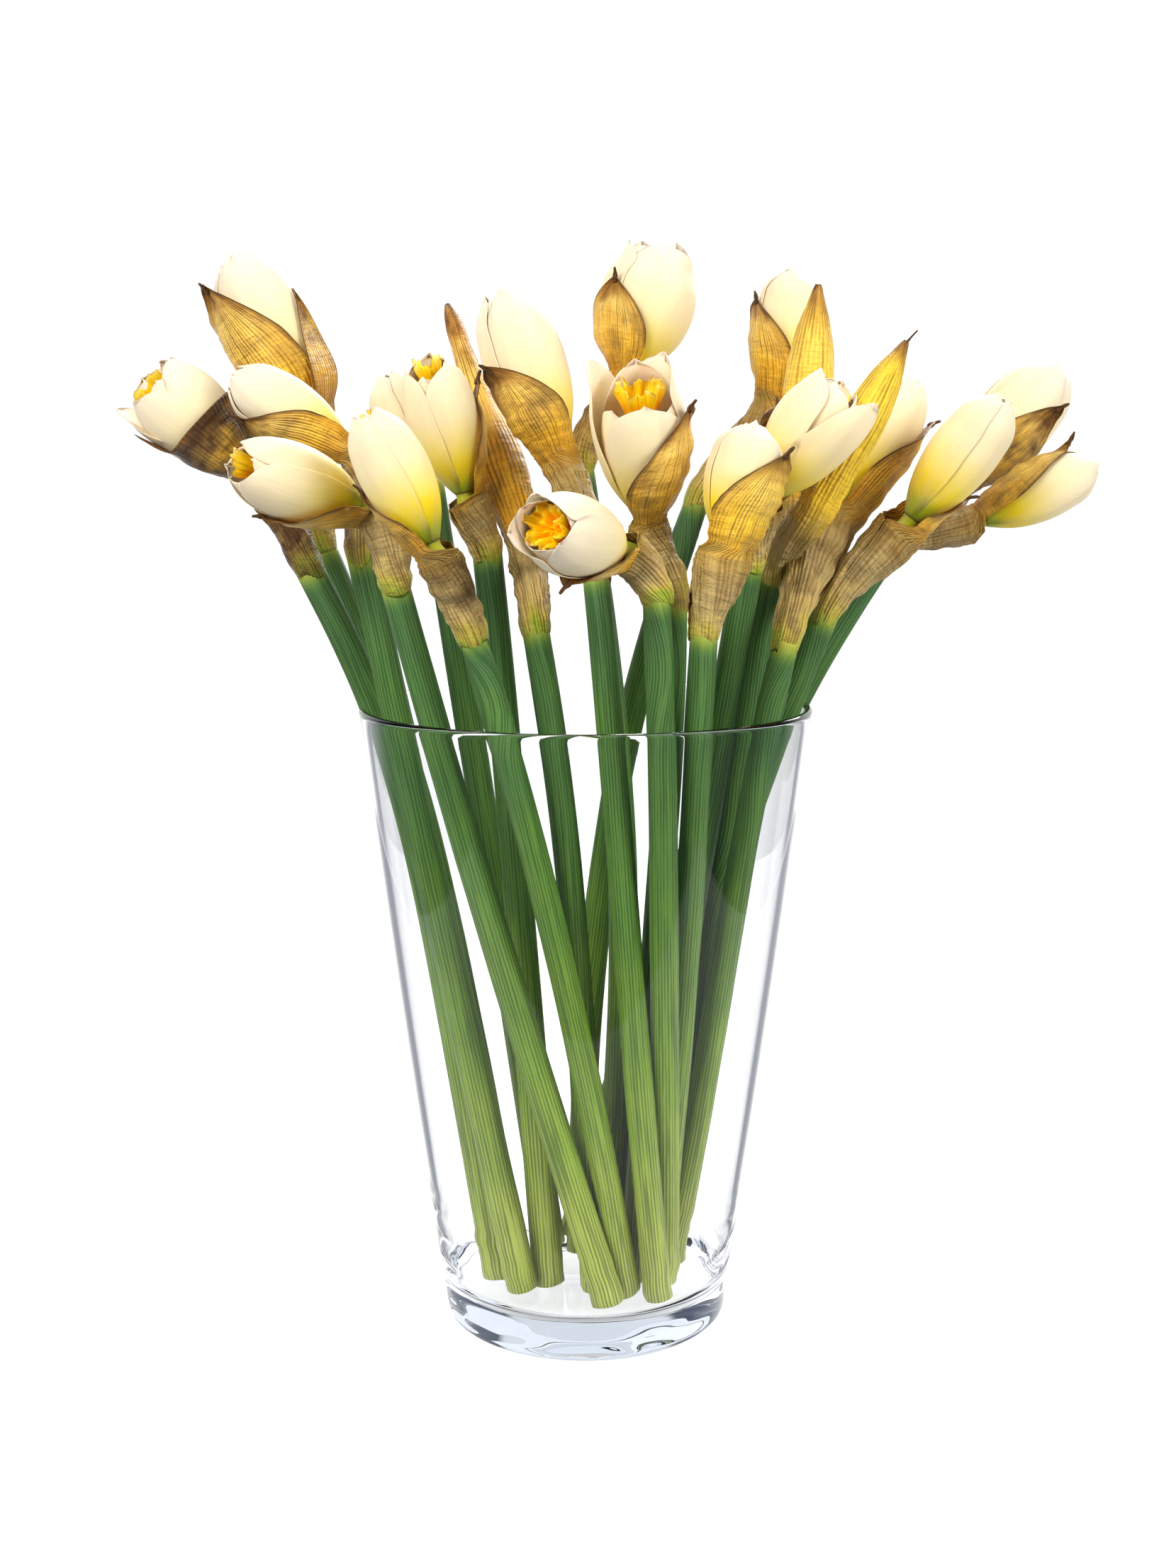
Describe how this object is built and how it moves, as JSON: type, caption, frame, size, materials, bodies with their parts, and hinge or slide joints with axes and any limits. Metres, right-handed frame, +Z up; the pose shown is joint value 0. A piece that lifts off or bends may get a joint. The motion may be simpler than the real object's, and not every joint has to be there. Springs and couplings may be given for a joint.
{
  "type": "narcissus bunch in a glass vase",
  "caption": "Bunch of half-open cream narcissi with papery brown spathes on ribbed green stems, standing in a clear tapered glass vase.",
  "frame": {"origin": "centre of the vase's underside", "axes": "+Z up the vase's axis, -Y towards the front of the bunch, +X to the right seen from the front"},
  "size_m": [0.3097, 0.1743, 0.3442],
  "materials": {
    "clear_glass": "clear pressed glass, smooth and bright, faintly green at the rim",
    "green_stem": "waxy green stem with fine length-wise ribs",
    "papery_spathe": "dry papery membrane with length-wise veins, translucent golden brown",
    "cream_tepal": "soft cream petal with fine veins, yellow and green at its base"
  },
  "bodies": {
    "root": {"vase": "clear_glass", "stem_01": "green_stem", "stem_02": "green_stem", "stem_03": "green_stem", "stem_04": "green_stem", "stem_05": "green_stem", "stem_06": "green_stem", "stem_07": "green_stem", "stem_08": "green_stem", "stem_09": "green_stem", "stem_10": "green_stem", "stem_11": "green_stem", "stem_12": "green_stem", "stem_13": "green_stem", "stem_14": "green_stem", "stem_15": "green_stem", "stem_16": "green_stem", "stem_17": "green_stem", "stem_18": "green_stem", "stem_19": "green_stem", "stem_20": "green_stem", "stem_21": "green_stem", "spathe_01": "papery_spathe", "spathe_02": "papery_spathe", "spathe_03": "papery_spathe", "spathe_04": "papery_spathe", "spathe_05": "papery_spathe", "spathe_06": "papery_spathe", "spathe_08": "papery_spathe", "spathe_09": "papery_spathe", "spathe_10": "papery_spathe", "spathe_11": "papery_spathe", "spathe_12": "papery_spathe", "spathe_13": "papery_spathe", "spathe_14": "papery_spathe", "spathe_15": "papery_spathe", "spathe_16": "papery_spathe", "spathe_17": "papery_spathe", "spathe_18": "papery_spathe", "spathe_19": "papery_spathe", "spathe_20": "papery_spathe", "spathe_21": "papery_spathe", "bloom_01": "cream_tepal", "bloom_02": "cream_tepal", "bloom_03": "cream_tepal", "bloom_04": "cream_tepal", "bloom_05": "cream_tepal", "bloom_06": "cream_tepal", "bloom_07": "cream_tepal", "bloom_08": "cream_tepal", "bloom_10": "cream_tepal", "bloom_11": "cream_tepal", "bloom_12": "cream_tepal", "bloom_13": "cream_tepal", "bloom_14": "cream_tepal", "bloom_15": "cream_tepal", "bloom_18": "cream_tepal", "bloom_19": "cream_tepal", "bloom_20": "cream_tepal", "bloom_21": "cream_tepal"}
  },
  "joints": []
}
